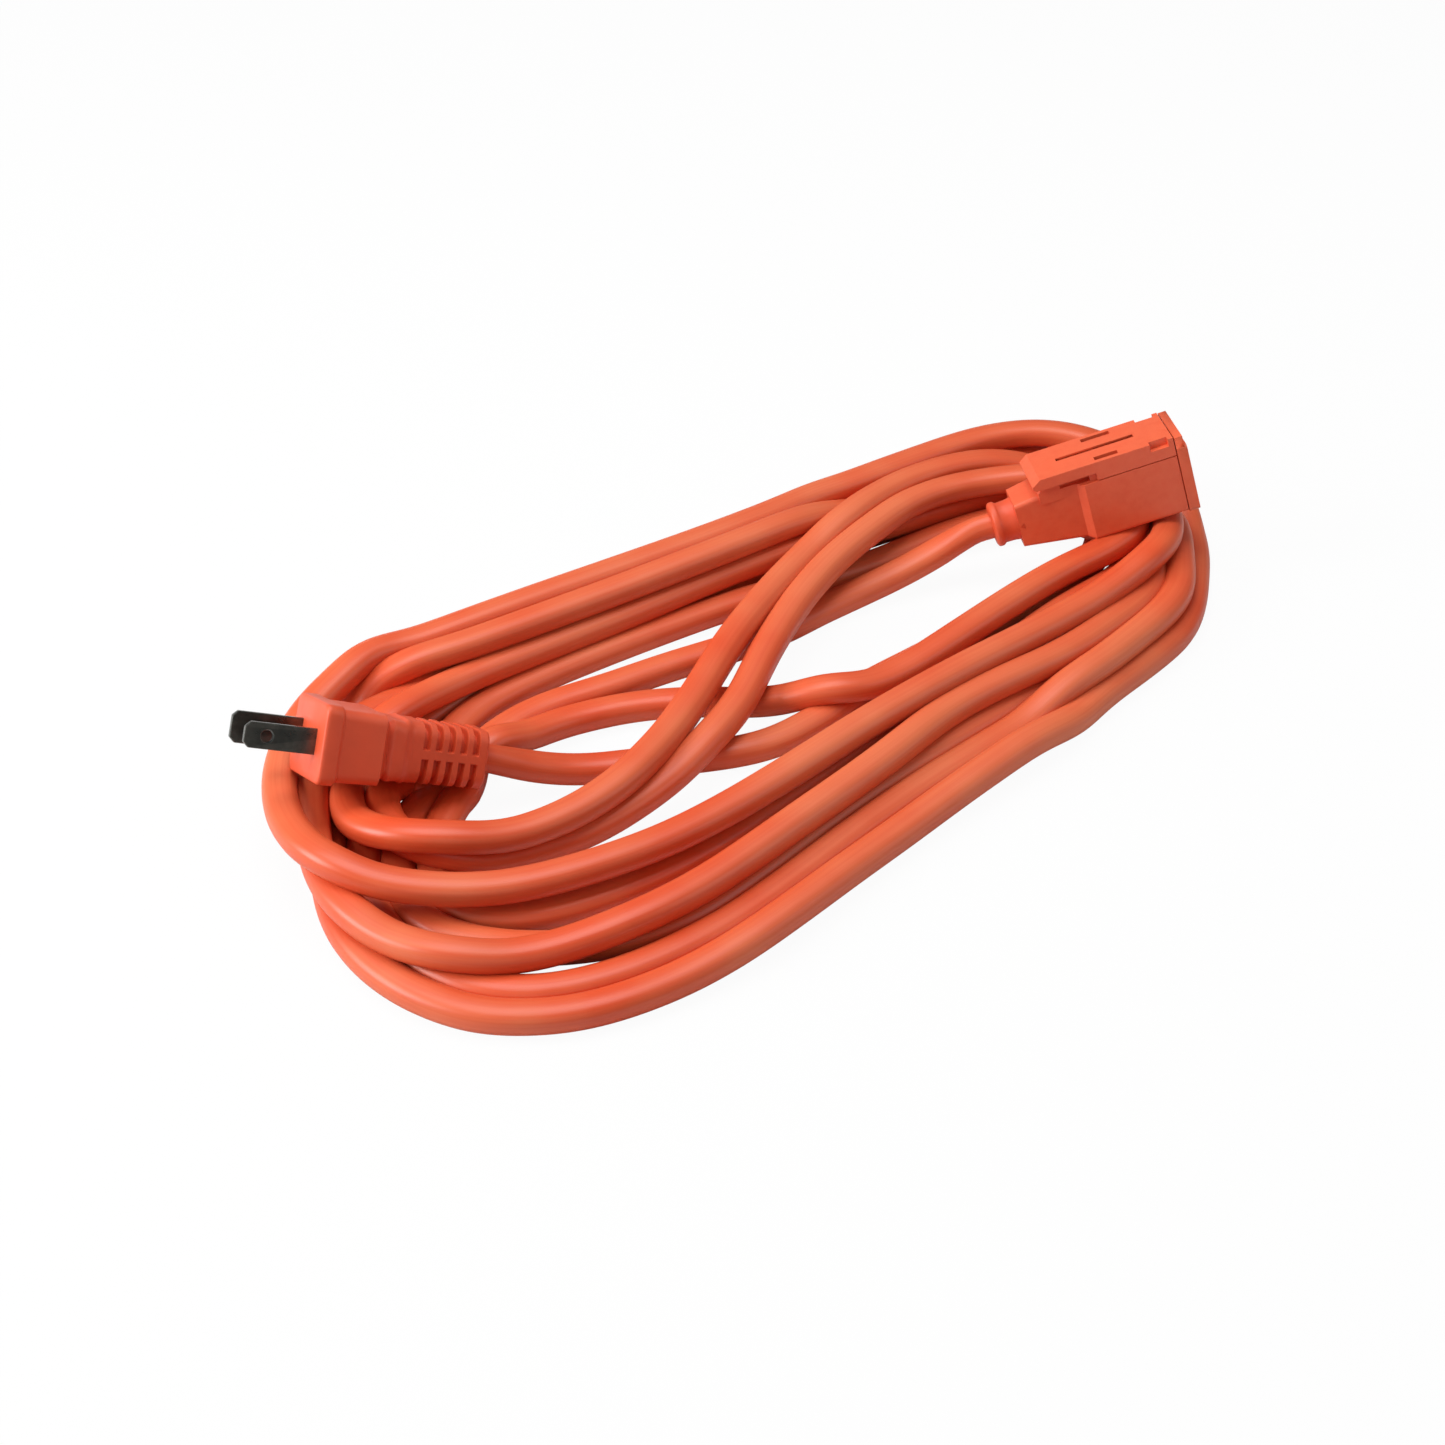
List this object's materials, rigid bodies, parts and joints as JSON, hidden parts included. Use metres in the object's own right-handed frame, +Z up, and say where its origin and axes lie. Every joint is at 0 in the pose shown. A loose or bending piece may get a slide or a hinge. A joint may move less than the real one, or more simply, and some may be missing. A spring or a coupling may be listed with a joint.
{
  "type": "extension cord",
  "caption": "Orange household extension cord wound as a loose flat hank, with a flat-blade plug at one end and an outlet tap with a sliding cover at the other.",
  "frame": {"origin": "bottom centre of everything: the hank lies on z = 0, its middle over the origin", "axes": "+Z up from the ground; the plug lies towards -X and the tap towards +X; the picture looks along +Y"},
  "size_m": [0.2611, 0.258, 0.0448],
  "materials": {
    "moulded_orange": "moulded vinyl, satin",
    "cover_orange": "moulded plastic, satin",
    "cord_jacket": "extruded vinyl, satin",
    "blade_metal": "plated, slightly worn",
    "contact_brass": "stamped sheet",
    "copper": "bare stranded copper",
    "insert": "moulded, dull",
    "wire_black": "extruded insulation",
    "wire_white": "extruded insulation"
  },
  "bodies": {
    "cord_set": {"plug_body": "moulded_orange", "plug_insert": "insert", "plug_blade_live": "blade_metal", "plug_blade_neutral": "blade_metal", "plug_wire_live": "wire_black", "plug_wire_neutral": "wire_white", "plug_conductor_live": "copper", "plug_conductor_neutral": "copper", "tap_body": "moulded_orange", "tap_inner_carrier": "insert", "tap_contact_live": "contact_brass", "tap_contact_neutral": "contact_brass", "tap_wire_live": "wire_black", "tap_wire_neutral": "wire_white", "tap_conductor_live": "copper", "tap_conductor_neutral": "copper", "tap_end_cap": "moulded_orange", "cord_coil": "cord_jacket", "cord_plug_lead": "cord_jacket", "cord_tap_lead": "cord_jacket", "cord_inner_strand": "cord_jacket", "cord_crossing_strand_left": "cord_jacket", "cord_crossing_strand_right": "cord_jacket"},
    "cover": {"outlet_cover": "cover_orange"}
  },
  "joints": [
    {"name": "cover_slide", "type": "slide", "parent": "cord_set", "child": "cover", "axis": [-0.9519, -0.1338, -0.2756], "range_m": [0, 0.011]}
  ]
}
